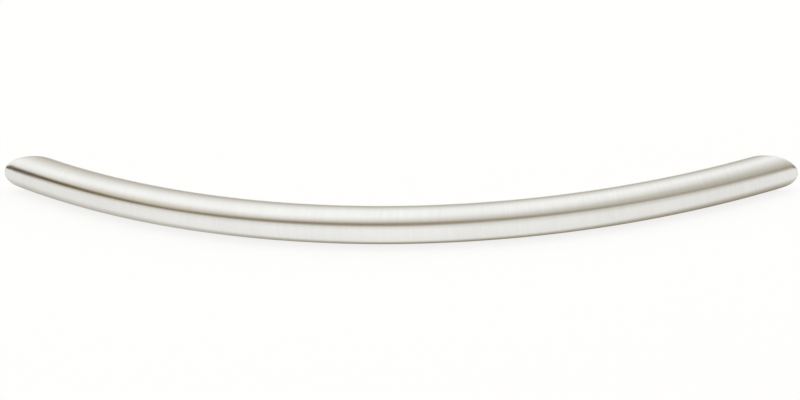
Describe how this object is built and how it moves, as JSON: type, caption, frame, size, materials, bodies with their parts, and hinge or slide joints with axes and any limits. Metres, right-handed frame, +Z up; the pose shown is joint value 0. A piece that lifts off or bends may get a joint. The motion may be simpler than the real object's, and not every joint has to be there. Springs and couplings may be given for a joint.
{
  "type": "bow handle",
  "caption": "Bow handle for a drawer or cabinet door: a round satin metal bar bent to a shallow arc, its ends cut flat into oval seats with tapped screw holes.",
  "frame": {"origin": "in the seat plane, midway between the two screw holes, on the bar's centre", "axes": "+X along the handle, to the right seen from in front; +Y out of the seats, into the drawer or door; +Z up, square to the plane of the bow"},
  "size_m": [0.2112, 0.035, 0.01],
  "materials": {
    "satin_nickel": "satin, fine grain, warm silver"
  },
  "bodies": {
    "root": {"bow_handle": "satin_nickel"}
  },
  "joints": []
}
